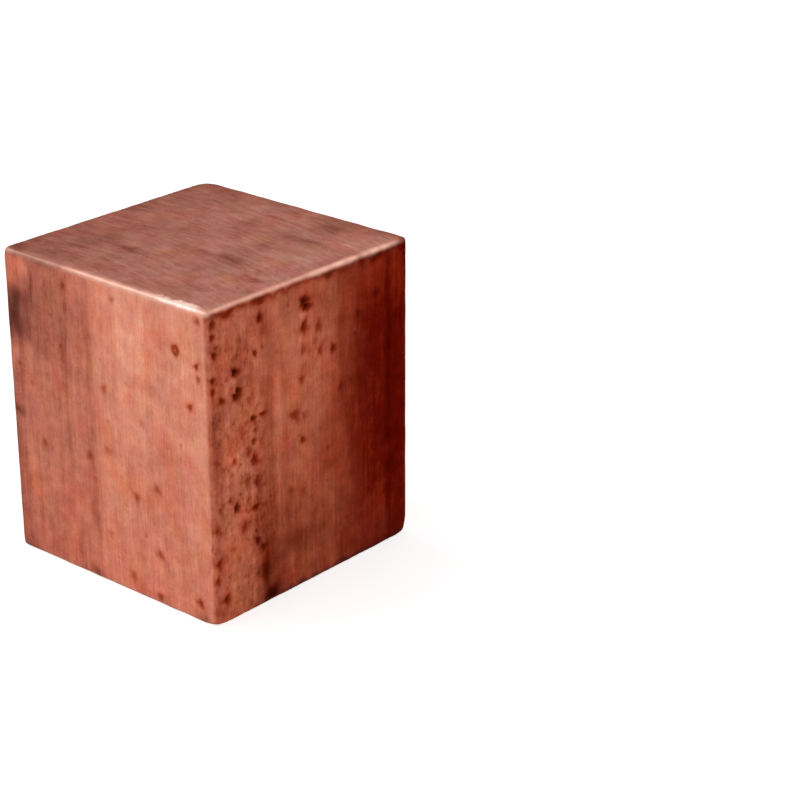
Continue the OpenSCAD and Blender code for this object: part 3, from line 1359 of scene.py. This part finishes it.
    def relief(self) -> Array:
        """How far points move from the plain bevelled block.

        Returns:
            One row of distances for each point.
        """
        move = self.edge_move() + self.corner_move()
        for side, marks in self.marks.items():
            across, up, below = self.plan(side, self.points)
            share = self.face_share(below)
            near = np.flatnonzero(share > 0)
            across, up, share = across[near], up[near], share[near]
            sink = np.zeros(len(near))
            for mark in marks:
                if isinstance(mark, Pit):
                    sink = np.maximum(sink, mark.sink(mark.reach(across, up)))
            if side.sawn:
                radius, _ = self.saw_arc(across, up)
                phase = math.tau * radius / self.saw_pitch + self.saw_drift.at(radius[:, None])
                sink += self.saw_ridge * (1 + np.sin(phase)) / 2
            move[near] -= (sink * share)[:, None] * side.outward
        return move

    def edge_move(self) -> Array:
        """How far points near an edge are worn back by uneven filing.

        Returns:
            One row of distances for each point.
        """
        move = np.zeros_like(self.points)
        for (first, one), (second, other) in combinations(enumerate(Side), 2):
            if one.outward @ other.outward != 0:
                continue
            depth = self.plan(one, self.points)[2] + self.plan(other, self.points)[2]
            near = np.flatnonzero(depth < self.filing_reach)
            along = (self.points[near] @ np.cross(one.outward, other.outward))[:, None]
            turn = 10 * first + second
            uneven = 0.5 + self.filing_waves.at(along, turn) + self.filing_ripples.at(along, turn)
            amount = self.filing * np.clip(uneven, 0, 2) * (1 - depth[near] / self.filing_reach) ** 2
            move[near] -= amount[:, None] * (one.outward + other.outward) / math.sqrt(2)
        return move

    def corner_move(self) -> Array:
        """How far points near a corner are knocked back towards the block's middle.

        Returns:
            One row of distances for each point.
        """
        move = np.zeros_like(self.points)
        for knock in self.knocks:
            outward = sum(side.outward for side in knock.sides)
            corner = np.where(outward > 0, self.high, self.low)
            distance = np.linalg.norm(self.points - corner, axis=1)
            fall = np.clip(1 - distance / knock.reach, 0, 1) ** 2
            move -= (knock.drop * fall)[:, None] * outward / math.sqrt(3)
        return move


@dataclass(frozen=True)
class Lamp:
    """A soft square lamp that looks at the block: its direction, distance and size in metres, and power."""

    name: str
    towards: tuple[float, float, float]
    distance: float
    size: float
    power: float

    def hang(self, target: Vector) -> None:
        """Adds the lamp to the scene.

        Args:
            target: The point that it looks at.
        """
        light = bpy.data.lights.new(self.name, "AREA")
        light.shape = "SQUARE"
        light.size = self.size
        light.energy = self.power
        lamp = put(self.name, light)
        away = Vector(self.towards).normalized()
        lamp.location = target + away * self.distance
        lamp.rotation_euler = away.to_track_quat("Z", "Y").to_euler()


@dataclass(frozen=True)
class Studio:
    """White floor, white surroundings and a soft lamp. The floor's size is in metres."""

    lamp: Lamp = Lamp("key_softbox", (-0.6, -0.42, 0.70), 0.5, 0.55, 0.75)
    floor_size: float = 3.0
    floor_colour: Colour = srgb(232, 232, 232)
    floor_glow: float = 0.72
    fill: float = 0.4

    def set_up(self, target: Vector) -> None:
        """Builds the floor, the surroundings and the lamp.

        Args:
            target: The point that the lamp looks at.
        """
        self.lay_floor()
        self.light_surroundings()
        self.lamp.hang(target)

    @staticmethod
    def seen(nodes: Nodes) -> Value:
        """One for rays from the camera, a reflection or a clear material, and none for the rest."""
        camera = nodes.node("ShaderNodeLightPath", {}, {}, "Is Camera Ray")
        return camera.at_least(camera.twin("Is Glossy Ray")).at_least(camera.twin("Is Transmission Ray"))

    def lay_floor(self) -> None:
        """Lays a pale floor that keeps the block's shadow."""
        bm = bmesh.new()
        bmesh.ops.create_grid(bm, x_segments=1, y_segments=1, size=self.floor_size / 2)
        floor = put("floor", to_mesh("floor", bm))
        material = bpy.data.materials.new("pale_floor")
        material.use_nodes = True
        nodes = Nodes(material.node_tree)
        matt = nodes.node("ShaderNodeBsdfDiffuse", {}, {"Color": self.floor_colour})
        glow = nodes.node("ShaderNodeEmission", {}, {"Strength": self.floor_glow * self.seen(nodes)})
        both = nodes.node("ShaderNodeAddShader", {}, {0: matt, 1: glow})
        nodes.node("ShaderNodeOutputMaterial", {}, {"Surface": both})
        floor.data.materials.append(material)

    def light_surroundings(self) -> None:
        """Makes the surroundings white to look at, and a soft fill for the rest."""
        world = bpy.data.worlds.new("studio")
        bpy.context.scene.world = world
        world.use_nodes = True
        nodes = Nodes(world.node_tree)
        strength = self.fill + (1 - self.fill) * self.seen(nodes)
        glow = nodes.node("ShaderNodeBackground", {}, {"Color": (1, 1, 1, 1), "Strength": strength})
        nodes.node("ShaderNodeOutputWorld", {}, {"Surface": glow})


@dataclass(frozen=True)
class PhotoCamera:
    """The camera of the photograph, solved from the block's edges.

    Its lens and sensor are in millimetres, and its two angles in degrees. The last three fields say how far
    the block's middle lies to the right of the camera, below it and ahead of it, in millimetres.
    """

    lens: float = 103.8
    sensor: float = 36.0
    azimuth: float = 40.63
    elevation: float = 23.0
    right: float = -17.23
    down: float = -0.62
    ahead: float = 210.6

    def stand(self, middle: Vector) -> None:
        """Adds the camera to the scene.

        Args:
            middle: The block's middle, in metres.
        """
        turn = math.radians(self.azimuth)
        pitch = math.radians(self.elevation)
        right = Vector((math.cos(turn), math.sin(turn), 0))
        back = Vector((math.sin(turn) * math.cos(pitch), -math.cos(turn) * math.cos(pitch), math.sin(pitch)))
        up = back.cross(right)
        data = bpy.data.cameras.new("photo_camera")
        data.lens = self.lens
        data.sensor_width = self.sensor
        data.clip_start = 10 * MM
        place = middle - (right * self.right - up * self.down - back * self.ahead) * MM
        camera = put("photo_camera", data)
        camera.matrix_world = Matrix.Translation(place) @ Matrix((right, up, back)).transposed().to_4x4()
        bpy.context.scene.camera = camera


def main() -> None:
    """Builds the block, dresses it, and sets up the studio and the camera."""
    logging.basicConfig(level=logging.INFO, format="%(name)s: %(message)s")
    bpy.context.scene.view_settings.view_transform = "Standard"
    low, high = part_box("copper_cube")
    middle = (low + high) / 2
    maker = CopperBlock(np.array(low) / MM, np.array(high) / MM, CopperFinish(), MARKS, EDGE_WEAR_AND_HIGHLIGHT, KNOCKS)
    block = maker.build()
    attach(block, "root")
    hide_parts("copper_cube")
    triangles = sum(len(face.vertices) - 2 for face in block.data.polygons)
    LOG.info("%s: %d points, %d triangles", block.name, len(block.data.vertices), triangles)
    Studio().set_up(middle)
    PhotoCamera().stand(middle)
    LOG.info("studio and camera are set up around %s", sorted(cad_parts))


if __name__ == "__main__":
    main()
